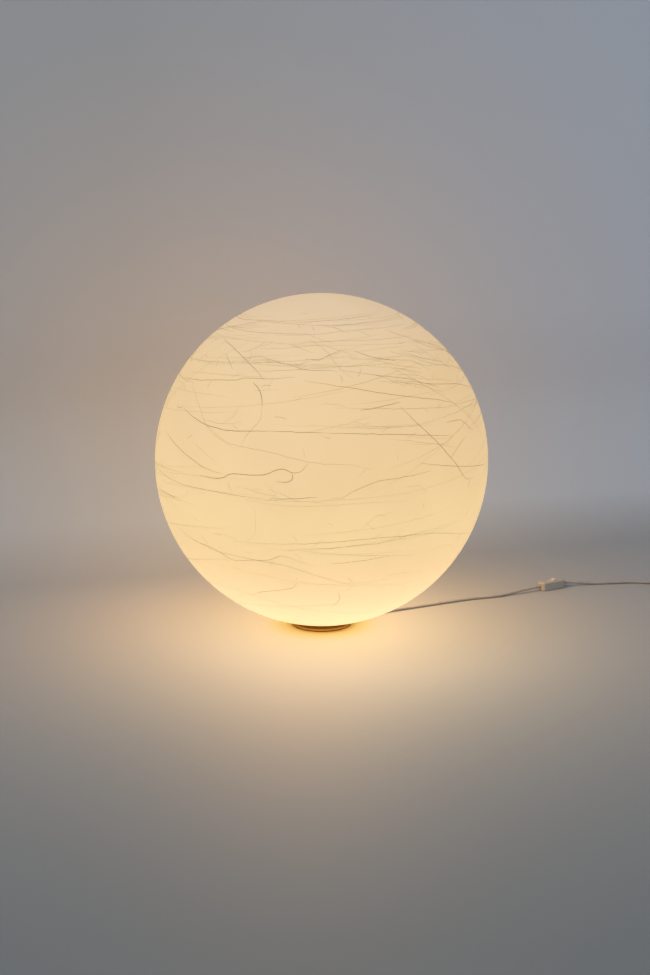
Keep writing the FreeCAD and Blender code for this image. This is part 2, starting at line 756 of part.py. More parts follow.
# ---- the plug -----------------------------------------------------------------------
def make_plug():
    """A flat two-pin plug, lying on its side with the pins away from the coil."""
    y = coil_start.y - coil_pitch
    z = plug_axis_z
    x0 = plug_face_x
    x1 = x0 + plug_nose
    x2 = x1 + plug_len

    def section(x, width, height, corner):
        outline = rounded_outline([
            (-width / 2, -height / 2, corner),
            (width / 2, -height / 2, corner),
            (width / 2, height / 2, corner),
            (-width / 2, height / 2, corner),
        ])
        outline.rotate(V(0, 0, 0), UP, 90)
        outline.translate(V(x, y, z))
        return outline

    tail = section(x1, 13.0, plug_h - 1.0, 3.0)
    shoulder = section(x1 + 12.0, plug_w - 6.0, plug_h, 4.0)
    face = section(x2, plug_w, plug_h, 4.0)
    body = Part.makeLoft([tail, shoulder], True, True)
    front = Part.makeLoft([shoulder, face], True, True)
    nose = Part.makeCone(3.4, 5.6, plug_nose, V(x0, y, z), V(1, 0, 0))
    plug = body.fuse(front).fuse(nose)

    # The pin, the hole for it and its sleeve are made upright, with the plug's face at z = 0.
    collar_top = -pin_root + pin_collar_len
    pin = turned([
        (0, -pin_root, 0),
        (pin_collar_r, -pin_root, 0),
        (pin_collar_r, collar_top, 0),
        (pin_shank_r, collar_top, 0),
        (pin_shank_r, pin_sleeve_len, 0),
        (pin_r, pin_sleeve_len, 0),
        (pin_r, pin_len, pin_end_rounding),
        (0, pin_len, 0),
    ])
    hole = turned([
        (0, -pin_root - pin_gap, 0),
        (pin_collar_r + pin_gap, -pin_root - pin_gap, 0),
        (pin_collar_r + pin_gap, collar_top + pin_gap, 0),
        (pin_shank_r + pin_gap, collar_top + pin_gap, 0),
        (pin_shank_r + pin_gap, 1, 0),
        (0, 1, 0),
    ])
    sleeve = ring(pin_shank_r + pin_gap, pin_sleeve_r, pin_gap, pin_sleeve_len - pin_gap)

    def laid_at(shape, side):
        copy = shape.copy()
        copy.rotate(V(0, 0, 0), V(0, 1, 0), 90)
        copy.translate(V(x2, y + side * pin_spacing / 2, z))
        return copy

    sides = (-1, 1)
    for side in sides:
        plug = plug.cut(laid_at(hole, side))
    save("plug_body", plug.removeSplitter())
    save("plug_pins", Part.makeCompound([laid_at(pin, side) for side in sides]))
    save("plug_pin_sleeves", Part.makeCompound([laid_at(sleeve, side) for side in sides]))


def make_flexes():
    lamp_side = make_flex("cord_lamp_side", lamp_side_route)
    wall_side = make_flex("cord_wall_side", wall_side_route)
    coil, end = make_coil()
    make_cord_tie()
    plug_end = make_flex("cord_plug_end", [
        end,
        V(end.x + 26.0, end.y, end.z),
        V(end.x + 53.0, end.y, plug_axis_z),
        V(plug_face_x, end.y, plug_axis_z),
    ])
    total = lamp_side + wall_side + coil + plug_end
    print(f"flex: {lamp_side:.0f} + {wall_side:.0f} + {coil:.0f} + {plug_end:.0f} = {total:.0f} mm")


make_globe_shell()
make_base_dish()
make_seat_gasket()
make_ballast_ring()
make_base_cover()
make_cord_bush()
make_cord_clamp()
make_nipple()
make_core_leads()
make_holder()
make_bulb()
make_switch_housing()
make_switch_rocker()
make_switch_terminals()
make_plug()
make_flexes()
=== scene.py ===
"""Globe lamp, lit: a moulded resin globe with fibres cast into it, on a small chromed dish,
with its bulb and lampholder inside, a flex, an in-line rocker switch and a two-pin plug.

Metres, +Z up. The origin is on the globe's axis, on the surface that the lamp stands on.
"""
import math
import random

import bpy
from mathutils import Matrix, Vector, noise


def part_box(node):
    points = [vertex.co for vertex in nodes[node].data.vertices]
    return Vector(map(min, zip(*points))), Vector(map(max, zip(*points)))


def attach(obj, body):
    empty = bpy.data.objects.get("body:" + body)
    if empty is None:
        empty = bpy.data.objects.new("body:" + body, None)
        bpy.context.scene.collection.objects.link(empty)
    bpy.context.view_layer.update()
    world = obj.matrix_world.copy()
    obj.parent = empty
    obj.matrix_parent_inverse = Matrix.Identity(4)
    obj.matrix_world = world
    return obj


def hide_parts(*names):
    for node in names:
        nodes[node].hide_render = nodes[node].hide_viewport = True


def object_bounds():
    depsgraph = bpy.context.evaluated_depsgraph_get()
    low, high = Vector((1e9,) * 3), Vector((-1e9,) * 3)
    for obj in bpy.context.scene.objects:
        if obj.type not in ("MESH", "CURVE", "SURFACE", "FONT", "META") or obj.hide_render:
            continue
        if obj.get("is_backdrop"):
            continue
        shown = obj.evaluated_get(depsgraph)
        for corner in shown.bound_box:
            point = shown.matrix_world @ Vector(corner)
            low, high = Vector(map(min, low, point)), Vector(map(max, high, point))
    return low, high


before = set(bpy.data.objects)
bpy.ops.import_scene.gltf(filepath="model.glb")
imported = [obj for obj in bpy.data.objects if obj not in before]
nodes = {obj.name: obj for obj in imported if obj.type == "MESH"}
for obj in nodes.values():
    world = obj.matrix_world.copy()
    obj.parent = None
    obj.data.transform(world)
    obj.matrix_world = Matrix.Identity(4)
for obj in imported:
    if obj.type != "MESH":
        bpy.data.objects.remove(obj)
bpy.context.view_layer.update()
MM = 0.001

# ---- camera -------------------------------------------------------------------------
# A portrait view from a little above the lamp and straight in front of it. A long-side
# field of 33 degrees gives the globe about half of the picture's width.
CAMERA_AT = (0.0052, -2.4001, 0.7594)
CAMERA_DOWN_DEG = 12.8

camera = bpy.data.objects.new("camera", bpy.data.cameras.new("camera"))
camera.data.sensor_width = 36.0
camera.data.lens = 60.0
camera.location = CAMERA_AT
camera.rotation_euler = (math.radians(90 - CAMERA_DOWN_DEG), 0, 0)
bpy.context.collection.objects.link(camera)
bpy.context.scene.camera = camera
bpy.context.scene.view_settings.view_transform = "Standard"


# ---- studio -------------------------------------------------------------------------
# A pale seamless sweep: paper that lies on the floor and curves up behind the lamp. Its
# back lets everything through, so that the lamp can be seen from behind. The room is dim,
# and what the sweep shows besides is the lamp's own light.
def srgb(hex_code):
    """An sRGB colour such as "F2E6C8" as linear red, green, blue and an alpha of 1."""
    linear = []
    for i in (0, 2, 4):
        value = int(hex_code[i : i + 2], 16) / 255
        linear.append(value / 12.92 if value <= 0.04045 else ((value + 0.055) / 1.055) ** 2.4)
    return (*linear, 1.0)


def add(tree, kind, settings=None, inputs=None):
    """Adds a shader node. Each input is a value to set or another node's output to link."""
    node = tree.nodes.new("ShaderNode" + kind)
    for name, value in (settings or {}).items():
        setattr(node, name, value)
    for name, value in (inputs or {}).items():
        if isinstance(value, bpy.types.NodeSocket):
            tree.links.new(value, node.inputs[name])
        else:
            node.inputs[name].default_value = value
    return node


def new_material(name, **sockets):
    """A material with its Principled shader, whose constant sockets are set here."""
    material = bpy.data.materials.new(name)
    material.use_nodes = True
    tree = material.node_tree
    shader = tree.nodes["Principled BSDF"]
    for socket, value in sockets.items():
        shader.inputs[socket.replace("_", " ")].default_value = value
    return material, tree, shader


def new_mesh_object(name, vertices, faces):
    """An object with this mesh, shaded smooth."""
    mesh = bpy.data.meshes.new(name)
    mesh.from_pydata(vertices, [], faces)
    mesh.validate()
    for polygon in mesh.polygons:
        polygon.use_smooth = True
    obj = bpy.data.objects.new(name, mesh)
    bpy.context.collection.objects.link(obj)
    return obj


SWEEP_HALF_WIDTH = 5.0
SWEEP_FRONT = -5.0
SWEEP_BEND_AT = 0.32  # where the floor starts to curve up
SWEEP_BEND_R = 0.28
SWEEP_TOP = 5.0
SWEEP_BEND_STEPS = 24
SWEEP_TURN_DEG = 15.0  # its left side stands nearer to the lamp
SWEEP_DROP = 0.2 * MM  # under the face that the lamp stands on
# The sweep's tones carry painted light: the floor is painted darker towards the front, as painted
# shade, and the wall bluer and lighter towards the right, as painted cool daylight from that
# side.
FLOOR_NEAR_PAINTED_SHADE = "888D8D"
FLOOR_FAR_TONE = "A2A6A8"
FLOOR_TONE_SPAN = (-1.0, 0.1)  # along Y, from the near tone to the far one
WALL_LEFT_TONE = "B4BFC5"
WALL_RIGHT_PAINTED_DAYLIGHT = "D0DCE8"
WALL_TONE_SPAN = (-0.35, 0.65)  # along X, from the left tone to the right one
WALL_TONE_FULL_AT = 0.40  # the height where the floor's tone has given way to the wall's
# The floor's colour is painted orange between these distances: a painted pool of the globe's
# orange light.
PAINTED_ORANGE_POOL_RING = (45 * MM, 90 * MM)  # from the lamp's axis

profile = [(SWEEP_FRONT, 0.0), (SWEEP_BEND_AT, 0.0)]
for i in range(1, SWEEP_BEND_STEPS + 1):
    a = math.pi / 2 * i / SWEEP_BEND_STEPS
    profile.append((SWEEP_BEND_AT + SWEEP_BEND_R * math.sin(a), SWEEP_BEND_R * (1 - math.cos(a))))
profile.append((SWEEP_BEND_AT + SWEEP_BEND_R, SWEEP_TOP))
vertices = []
faces = []
for y, z in profile:
    vertices += [(-SWEEP_HALF_WIDTH, y, z), (SWEEP_HALF_WIDTH, y, z)]
for i in range(len(profile) - 1):
    faces.append((2 * i, 2 * i + 1, 2 * i + 3, 2 * i + 2))
sweep = new_mesh_object("studio_sweep", vertices, faces)
sweep.location.z = -SWEEP_DROP
sweep.rotation_euler.z = math.radians(SWEEP_TURN_DEG)
sweep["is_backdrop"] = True

paper, tree, shader = new_material("studio_paper", Roughness=0.7)
place = add(tree, "NewGeometry")
xyz = add(tree, "SeparateXYZ", None, {0: place.outputs["Position"]})
across = add(tree, "MapRange", None, {
    "Value": xyz.outputs["X"],
    "From Min": WALL_TONE_SPAN[0],
    "From Max": WALL_TONE_SPAN[1],
})
wall_tone = add(tree, "MixRGB", None, {
    "Fac": across.outputs["Result"],
    "Color1": srgb(WALL_LEFT_TONE),
    "Color2": srgb(WALL_RIGHT_PAINTED_DAYLIGHT),
})
away = add(tree, "MapRange", None, {
    "Value": xyz.outputs["Y"],
    "From Min": FLOOR_TONE_SPAN[0],
    "From Max": FLOOR_TONE_SPAN[1],
})
floor_tone = add(tree, "MixRGB", None, {
    "Fac": away.outputs["Result"],
    "Color1": srgb(FLOOR_NEAR_PAINTED_SHADE),
    "Color2": srgb(FLOOR_FAR_TONE),
})
up = add(tree, "MapRange", None, {"Value": xyz.outputs["Z"], "From Max": WALL_TONE_FULL_AT})
share = add(tree, "ValToRGB", None, {"Fac": up.outputs["Result"]})
# Painted light: this early step towards the wall's lighter tone lifts the shaded low part of the
# bend.
share.color_ramp.elements.new(0.14).color = srgb("CACACA")
tone = add(tree, "MixRGB", None, {
    "Fac": share.outputs["Color"],
    "Color1": floor_tone.outputs["Color"],
    "Color2": wall_tone.outputs["Color"],
})
flat_place = add(tree, "CombineXYZ", None, {"X": xyz.outputs["X"], "Y": xyz.outputs["Y"]})
from_axis = add(tree, "VectorMath", {"operation": "LENGTH"}, {0: flat_place.outputs["Vector"]})
ring = add(tree, "MapRange", None, {
    "Value": from_axis.outputs["Value"],
    "From Min": PAINTED_ORANGE_POOL_RING[0],
    "From Max": PAINTED_ORANGE_POOL_RING[1],
})
# Painted light: only orange light gets through the thick resin at the dish, so the floor's colour
# is painted orange close round it, as a pool of that light.
orange = add(tree, "ValToRGB", None, {"Fac": ring.outputs["Result"]})
orange.color_ramp.elements[0].color = srgb("DCB45B")
orange.color_ramp.elements[1].color = srgb("FFFFFF")
orange.color_ramp.elements.new(0.24).color = srgb("FDF5B8")
orange.color_ramp.elements.new(0.55).color = srgb("FFFFE2")
lit_tone = add(tree, "MixRGB", {"blend_type": "MULTIPLY"}, {
    "Fac": 1.0,
    "Color1": tone.outputs["Color"],
    "Color2": orange.outputs["Color"],
})
tree.links.new(lit_tone.outputs["Color"], shader.inputs["Base Color"])
clear = add(tree, "BsdfTransparent")
one_sided = add(tree, "MixShader", None, {
    0: place.outputs["Backfacing"],
    1: shader.outputs["BSDF"],
    2: clear.outputs["BSDF"],
})
tree.links.new(one_sided.outputs["Shader"], tree.nodes["Material Output"].inputs["Surface"])
sweep.data.materials.append(paper)

ROOM_LEVEL = 0.48
world = bpy.data.worlds.new("studio")
world.use_nodes = True
world.node_tree.nodes["Background"].inputs["Color"].default_value = srgb("ECF3FF")
world.node_tree.nodes["Background"].inputs["Strength"].default_value = ROOM_LEVEL
bpy.context.scene.world = world

softbox_data = bpy.data.lights.new("softbox", "AREA")
softbox_data.shape = "RECTANGLE"
softbox_data.size = 2.2
softbox_data.size_y = 1.4
softbox_data.energy = 12.0
softbox = bpy.data.objects.new("softbox", softbox_data)
softbox.location = (-1.1, -0.9, 2.6)
softbox.rotation_euler = (math.radians(34), math.radians(-18), 0)
bpy.context.collection.objects.link(softbox)


# ---- resin globe --------------------------------------------------------------------
# The 500 mm shell is 2.5 mm of cast polyester resin, milky and satin. The bulb in it sits
# low, so that the shell glows brightest near the bottom, and the lowest part, behind the
# dish and the lampholder, glows dim and orange.
low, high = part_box("globe_shell")
GLOBE_R = (high.x - low.x) / 2
GLOBE_CENTRE = Vector((0, 0, high.z - GLOBE_R))
GLOW_FROM = 10 * MM  # the height of the lowest stop
GLOW_STOPS = [  # (share of the way up, colour)
    (0.0, "5A3414"),
    (0.010, "9A6A34"),
    (0.020, "CCA878"),
    (0.045, "CFB78E"),
    (0.1, "D0B88C"),
    (0.25, "D1B07A"),
    (0.42, "D3B172"),
    (0.6, "C8A263"),
    (0.8, "BA9352"),
    (1.0, "A68355"),
]
CLOUD = 110 * MM  # across a patch where the resin is a little thicker
CLOUD_LEVELS = (0.96, 1.03)  # of the glow in such a patch and beside it
MILK_STREAK = 70 * MM
ORANGE_PEEL = 16 * MM


def globe_glow(tree, strength):
    """The colour of the light that comes through the shell, by height on the globe."""
    place = add(tree, "TexCoord").outputs["Object"]
    xyz = add(tree, "SeparateXYZ", None, {0: place})
    rise = add(tree, "MapRange", None, {
        "Value": xyz.outputs["Z"],
        "From Min": GLOW_FROM,
        "From Max": 2 * GLOBE_R,
    })
    ramp = add(tree, "ValToRGB", None, {"Fac": rise.outputs["Result"]})
    for i, (at, colour) in enumerate(GLOW_STOPS):
        if i < 2:
            element = ramp.color_ramp.elements[i]
            element.position = at
        else:
            element = ramp.color_ramp.elements.new(at)
        element.color = srgb(colour)
    cloud = add(tree, "TexNoise", None, {
        "Vector": place,
        "Scale": 1 / CLOUD,
        "Detail": 6.0,
        "Roughness": 0.6,
    })
    vary = add(tree, "MapRange", None, {
        "Value": cloud.outputs["Fac"],
        "From Min": 0.3,
        "From Max": 0.7,
        "To Min": CLOUD_LEVELS[0] * strength,
        "To Max": CLOUD_LEVELS[1] * strength,
    })
    return ramp.outputs["Color"], vary.outputs["Result"]


resin, tree, shader = new_material(
    "cast_polyester_resin", Roughness=0.5, IOR=1.54, Specular_IOR_Level=0.35
)
colour, level = globe_glow(tree, 1.0)
tree.links.new(colour, shader.inputs["Emission Color"])
tree.links.new(level, shader.inputs["Emission Strength"])
place = add(tree, "TexCoord").outputs["Object"]
cloud = add(tree, "TexNoise", None, {"Vector": place, "Scale": 1 / MILK_STREAK, "Detail": 8.0})
milk = add(tree, "ValToRGB", None, {"Fac": cloud.outputs["Fac"]})
milk.color_ramp.elements[0].color = srgb("DDCFB4")
milk.color_ramp.elements[1].color = srgb("E6DAC2")
tree.links.new(milk.outputs["Color"], shader.inputs["Base Color"])
peel = add(tree, "TexNoise", None, {"Vector": place, "Scale": 1 / ORANGE_PEEL, "Detail": 2.0})
bump = add(tree, "Bump", None, {
    "Height": peel.outputs["Fac"],
    "Strength": 0.15,
    "Distance": 0.6 * MM,
})
tree.links.new(bump.outputs["Normal"], shader.inputs["Normal"])


def dress(material, *names):
    """Gives the CAD nodes of these names their material."""
    for name in names:
        nodes[name].data.materials.clear()
        nodes[name].data.materials.append(material)


dress(resin, "globe_shell")

# ---- fibres in the resin ------------------------------------------------------------
# Hair-thin plant fibres, 0.3 to 1 mm thick, laid in the mould before the resin was cast
# and showing through its skin. Most run level round the globe in long loose arcs, close
# together near the top. Some are kinked, branch, or end in a hook or a curl.
FIBRE_STEP = 5.0 * MM
FIBRE_SIDES = 4
FIBRE_SINK = 0.05 * MM  # of a fibre's middle under the globe's skin
FIBRE_TAPER = 0.25  # of its length, at each end
FIBRE_TIP = 0.35  # of its thickness
FIBRES_STOP_AT = 0.975  # no fibre runs nearer to the top, where every line is level
STRAIGHTENS = 0.05  # the share of its straying that a fibre makes good at each step
KINK_DEG = (12, 38)
CURL_OVER = 25 * MM  # the end of a fibre, which its curl bends
WAVER = 0.9 * MM  # sideways, about every waver step
WAVER_STEP = 11.0 * MM
VIEW_COLUMNS = 650
VIEW_ROWS = 975


def lies_on_globe(point):
    """The point moved onto the globe's skin."""
    return GLOBE_CENTRE + (point - GLOBE_CENTRE).normalized() * (GLOBE_R - FIBRE_SINK)


def seen_at(column, row):
    """The point of the globe that shows at this column and row of the 650 by 975 view."""
    pitch = math.radians(CAMERA_DOWN_DEG)
    reach = VIEW_ROWS * camera.data.lens / camera.data.sensor_width
    ahead = Vector((0, math.cos(pitch), -math.sin(pitch))) * reach
    rise = Vector((0, math.sin(pitch), math.cos(pitch))) * (VIEW_ROWS / 2 - row)
    ray = (ahead + rise + Vector((column - VIEW_COLUMNS / 2, 0, 0))).normalized()
    to_centre = GLOBE_CENTRE - Vector(CAMERA_AT)
    along = to_centre.dot(ray)
    off = max(to_centre.length_squared - along**2, 0)
    depth = math.sqrt(max(GLOBE_R**2 - off, 0))
    return lies_on_globe(Vector(CAMERA_AT) + ray * (along - depth))


def through(points):
    """A smooth line through the points, on the globe's skin, with points a step apart."""
    points = [points[0], *points, points[-1]]
    line = []
    for p0, p1, p2, p3 in zip(points, points[1:], points[2:], points[3:]):
        count = max(2, round((p2 - p1).length / FIBRE_STEP))
        for i in range(count):
            t = i / count
            spot = (
                p1 * 2
                + (p2 - p0) * t
                + (p0 * 2 - p1 * 5 + p2 * 4 - p3) * t**2
                + (p1 * 3 - p0 - p2 * 3 + p3) * t**3
            ) / 2
            line.append(lies_on_globe(spot))
    return line + [lies_on_globe(points[-1])]


def wander(rng, start, slope, length, restless, kinks=0, curl=0.0):
    """A line over the skin from a start. It keeps about its slope, in degrees to the level,
    and strays by some degrees a step. The curl is its turn, in degrees, near its end."""
    steps = max(3, round(length / FIBRE_STEP))
    kink_at = {rng.randrange(2, steps) for _ in range(kinks) if steps > 4}
    spot = lies_on_globe(start)
    line = [spot]
    home = slope
    for i in range(steps):
        radial = (spot - GLOBE_CENTRE).normalized()
        if radial.z > FIBRES_STOP_AT:
            break
        slope += rng.gauss(0, restless) + STRAIGHTENS * (home - slope)
        if (steps - i) * FIBRE_STEP < CURL_OVER:
            slope += curl * FIBRE_STEP / CURL_OVER
            home = slope
        if i in kink_at:
            turn = rng.choice((-1, 1)) * rng.uniform(*KINK_DEG)
            slope += turn
            home += turn
        level = Vector((0, 0, 1)).cross(radial).normalized()
        direction = Matrix.Rotation(math.radians(-slope), 3, radial) @ level
        spot = lies_on_globe(spot + direction * FIBRE_STEP)
        line.append(spot)
    return line


def add_fibre(shape, line, thick):
    """A thin tube along the line, tapered at both ends, into a (vertices, faces) pair. It
    wavers a little, as a plant fibre does."""
    line = [lies_on_globe(spot + noise.noise_vector(spot / WAVER_STEP) * WAVER) for spot in line]
    vertices, faces = shape
    first = len(vertices)
    last = len(line) - 1
    for i, spot in enumerate(line):
        tangent = (line[min(i + 1, last)] - line[max(i - 1, 0)]).normalized()
        radial = (spot - GLOBE_CENTRE).normalized()
        side = tangent.cross(radial).normalized()
        end = min(i, last - i) / max(1, last * FIBRE_TAPER)
        r = thick / 2 * min(1.0, FIBRE_TIP + (1 - FIBRE_TIP) * end)
        for k in range(FIBRE_SIDES):
            a = 2 * math.pi * k / FIBRE_SIDES
            vertices.append(spot + side * (r * math.cos(a)) + radial * (r * math.sin(a)))
    for i in range(last):
        for k in range(FIBRE_SIDES):
            a = first + i * FIBRE_SIDES + k
            b = first + i * FIBRE_SIDES + (k + 1) % FIBRE_SIDES
            faces.append((a, b, b + FIBRE_SIDES, a + FIBRE_SIDES))
    faces.append(tuple(first + k for k in reversed(range(FIBRE_SIDES))))
    faces.append(tuple(first + last * FIBRE_SIDES + k for k in range(FIBRE_SIDES)))


def on_globe(azimuth, elevation):
    """Azimuth 0 is the front and 90 the right, in degrees."""
    a = math.radians(azimuth)
    e = math.radians(elevation)
    out = Vector((math.sin(a) * math.cos(e), -math.cos(a) * math.cos(e), math.sin(e)))
    return GLOBE_CENTRE + out * GLOBE_R


# The fibres that stand out in front, through (column, row) places of the 650 by 975 view.
STRONG_IN_FRONT = {
    "hooked": [
        (400, 407), (419, 425), (438, 443), (456, 464), (463, 475), (468, 479), (474, 477),
    ],
    "wavy": [
        (200, 475), (212, 478), (222, 478), (232, 474), (262, 475), (281, 469), (294, 473),
        (303, 470), (309, 462),
    ],
    "left_edge_low": [(160, 489), (168, 494), (178, 498)],
    "left_drop": [(253, 382), (260, 391), (262, 400), (262, 408)],
    "wavy_branch": [(292, 473), (293, 478), (288, 482), (276, 482)],
    "left_bow": [(184, 408), (192, 416), (203, 423), (216, 428), (236, 431), (273, 431)],
}
PLAIN_IN_FRONT = {
    "left_level": [(185, 377), (199, 380), (231, 380), (245, 378), (270, 379), (295, 377)],
    "left_bow_end": [(270, 431), (295, 432), (324, 433)],
    "upper_short": [(354, 351), (372, 357), (396, 361)],
    "low_rise": [(331, 564), (360, 561), (390, 556)],
    "right_kink": [(447, 423), (452, 421), (460, 420), (466, 424), (472, 430)],
    "level_434": [(324, 433), (370, 434), (423, 435), (452, 436)],
    "right_long": [(338, 370), (361, 373), (385, 376), (410, 379), (435, 384), (472, 389)],
    "right_tilted": [(305, 381), (338, 386), (370, 391), (396, 395), (423, 398), (458, 404)],
    "left_slant": [(223, 338), (233, 347), (246, 360), (256, 370), (264, 380)],
    "low_left": [
        (180, 528), (194, 540), (210, 547), (223, 554), (233, 560), (254, 560), (269, 560),
        (280, 556), (292, 559), (314, 566),
    ],
    "low_left_under": [(193, 539), (220, 552), (246, 558), (286, 566), (324, 578), (357, 586)],
    "low_level": [
        (233, 541), (254, 543), (296, 544), (324, 543), (359, 540), (393, 537), (438, 533),
        (470, 532),
    ],
    "middle_rise": [(330, 499), (342, 498), (354, 491), (376, 482), (398, 478), (432, 471)],
    "left_edge": [(166, 431), (178, 447), (193, 460), (205, 468), (222, 474)],
    "low_curl": [(249, 596), (262, 592), (280, 590), (292, 588), (297, 583), (297, 577)],
    "upper_slope": [(256, 355), (278, 362), (291, 365), (308, 370), (338, 371)],
    "short_rise": [(360, 410), (376, 408), (400, 402)],
    "level_498": [(271, 499), (288, 499), (318, 497)],
    "low_hook": [(330, 607), (337, 603), (340, 597), (338, 593)],
    "right_end": [(420, 463), (450, 466), (472, 466), (486, 464)],
}
FAINT_IN_FRONT = {
    "slant_to_middle": [
        (203, 420), (225, 441), (249, 448), (273, 453), (295, 459), (324, 464), (351, 465),
        (372, 470),
    ],
    "drop_end": [(262, 406), (260, 420), (249, 432), (241, 445)],
    "long_fall": [(192, 380), (199, 405), (210, 430), (238, 451)],
    "upper_fall": [(308, 339), (325, 350), (340, 369), (353, 378)],
    "low_rise_end": [(386, 576), (399, 574), (413, 571)],
}

FIBRE_SEED = 11
SCATTERED = 190
SCATTER_BANDS = [  # (up to this share of them, lowest and highest elevation of a start)
    (0.64, 14, 64),
    (0.84, -14, 14),
    (1.0, -52, -14),
]
LONG_SHARE = 0.6
LONG_MM = (90, 340)
SHORT_MM = (18, 75)
FORK_MM = (12, 40)
SPECKS = 170
SPECK_MM = (4, 14)
TUFT = 24
TUFT_COLUMNS = (362, 412)  # where its fibres start, in the same view, as are its rows
TUFT_ROWS = (328, 382)
TUFT_RUN = (24, 58)  # columns to the right

rng = random.Random(FIBRE_SEED)
noise.seed_set(FIBRE_SEED)  # unseeded, the fibres' waver would differ from run to run
strong = ([], [])
plain = ([], [])
faint = ([], [])
for spots in STRONG_IN_FRONT.values():
    add_fibre(strong, through([seen_at(*spot) for spot in spots]), 0.9 * MM)
for spots in PLAIN_IN_FRONT.values():
    add_fibre(plain, through([seen_at(*spot) for spot in spots]), rng.uniform(0.75, 0.95) * MM)
for _ in range(SCATTERED):
    azimuth = rng.uniform(-180, 180)
    draw = rng.random()
    lowest, highest = next((a, b) for share, a, b in SCATTER_BANDS if draw < share)
    start = on_globe(azimuth, rng.uniform(lowest, highest))
    is_long = rng.random() < LONG_SHARE
    in_front = abs(azimuth) < 80
    if is_long:
        length = rng.uniform(*LONG_MM) * MM
        slope = rng.gauss(-4, 6)
        line = wander(rng, start, slope, length, 0.9, rng.choice((0, 0, 0, 1)))
    else:
        length = rng.uniform(*SHORT_MM) * MM
        slope = rng.gauss(-4, 26)
        line = wander(rng, start, slope, length, 2.5, rng.choice((0, 1, 1)), rng.gauss(0, 70))
    if rng.random() < (0.16 if in_front else 0.42):
        add_fibre(plain, line, rng.uniform(0.55, 0.8) * MM)
        if not in_front and rng.random() < 0.2:
            add_fibre(strong, wander(rng, start, slope + 9, 0.6 * length, 1.2), 0.9 * MM)
    else:
        add_fibre(faint, line, rng.uniform(0.35, 0.65) * MM)
    beside = line[rng.randrange(len(line))]
    for _ in range(rng.choice((0, 0, 1, 2)) if is_long else 0):
        drop = Vector((0, 0, rng.uniform(-7, 7) * MM))
        twin = wander(rng, beside + drop, slope + rng.gauss(0, 2.5), 0.7 * length, 0.9)
        add_fibre(faint, twin, rng.uniform(0.35, 0.6) * MM)
    if rng.random() < 0.3:
        fork_slope = slope + rng.choice((-1, 1)) * rng.uniform(12, 40)
        fork = wander(rng, beside, fork_slope, rng.uniform(*FORK_MM) * MM, 3.0, 1)
        add_fibre(faint, fork, 0.5 * MM)
for _ in range(SPECKS):
    start = on_globe(rng.uniform(-180, 180), math.degrees(math.asin(rng.uniform(-0.9, 0.93))))
    length = rng.uniform(*SPECK_MM) * MM
    speck = wander(rng, start, rng.uniform(-90, 90), length, 14.0)
    add_fibre(faint, speck, rng.uniform(0.4, 0.8) * MM)
for spots in FAINT_IN_FRONT.values():
    add_fibre(faint, through([seen_at(*spot) for spot in spots]), rng.uniform(0.55, 0.7) * MM)
for i in range(TUFT):  # of near-parallel fibres, high up on the right in front
    column = rng.uniform(*TUFT_COLUMNS)
    row = rng.uniform(*TUFT_ROWS)
    run = rng.uniform(*TUFT_RUN)
    fall = rng.gauss(0.22, 0.07)
    spots = [(column + run * t, row + run * t * fall + rng.gauss(0, 0.8)) for t in (0, 0.5, 1)]
    line = through([seen_at(*spot) for spot in spots])
    add_fibre(plain if i % 4 == 0 else faint, line, rng.uniform(0.45, 0.75) * MM)

FIBRE_TINT = "F0FBFF"  # the glow loses a little of its red in a fibre

for name, shape, tone, glow_share in (
    ("fibres_strong", strong, "8A8372", 0.38),
    ("fibres_plain", plain, "A59C86", 0.50),
    ("fibres_faint", faint, "BAAF98", 0.64),
):
    fibres = new_mesh_object(name, *shape)
    material, tree, shader = new_material("plant_" + name, Roughness=0.6)
    shader.inputs["Base Color"].default_value = srgb(tone)
    colour, level = globe_glow(tree, glow_share)
    cooled = add(tree, "MixRGB", {"blend_type": "MULTIPLY"}, {
        "Fac": 1.0,
        "Color1": colour,
        "Color2": srgb(FIBRE_TINT),
    })
    tree.links.new(cooled.outputs["Color"], shader.inputs["Emission Color"])
    tree.links.new(level, shader.inputs["Emission Strength"])
    fibres.data.materials.append(material)
    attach(fibres, "globe")

# ---- the lamp's own light -----------------------------------------------------------
# The glow of the lit globe on its surroundings, which the shell doesn't block. The bulb sits
# low, so most of it falls on the floor as a pool, and a weaker orange halo goes round.
POOL_AT = (0.02, -0.08, 0.345)
HALO_AT = (-0.05, 0, GLOBE_CENTRE.z)

casting = bpy.data.collections.new("casts_shadow_of_glow")
lit_by_glow = bpy.data.collections.new("lit_by_glow")
lit_by_glow.objects.link(sweep)
for name, node in nodes.items():
    if name.startswith(("base_", "foot_", "cord_", "switch_", "plug_")):
        casting.objects.link(node)
        lit_by_glow.objects.link(node)
lit_by_glow.objects.link(nodes["seat_gasket"])

pool_data = bpy.data.lights.new("pool_on_floor", "AREA")
pool_data.shape = "ELLIPSE"
pool_data.size = 0.12
pool_data.size_y = 0.40
pool_data.color = srgb("FFDEAC")[:3]
pool_data.energy = 2.12
halo_data = bpy.data.lights.new("halo_round_globe", "POINT")
halo_data.shadow_soft_size = 0.10
halo_data.color = srgb("FFA444")[:3]
halo_data.energy = 4.8
for data, place in ((pool_data, POOL_AT), (halo_data, HALO_AT)):
    glow = bpy.data.objects.new(data.name, data)
    glow.location = place
    glow.light_linking.blocker_collection = casting
    glow.light_linking.receiver_collection = lit_by_glow
    bpy.context.collection.objects.link(glow)

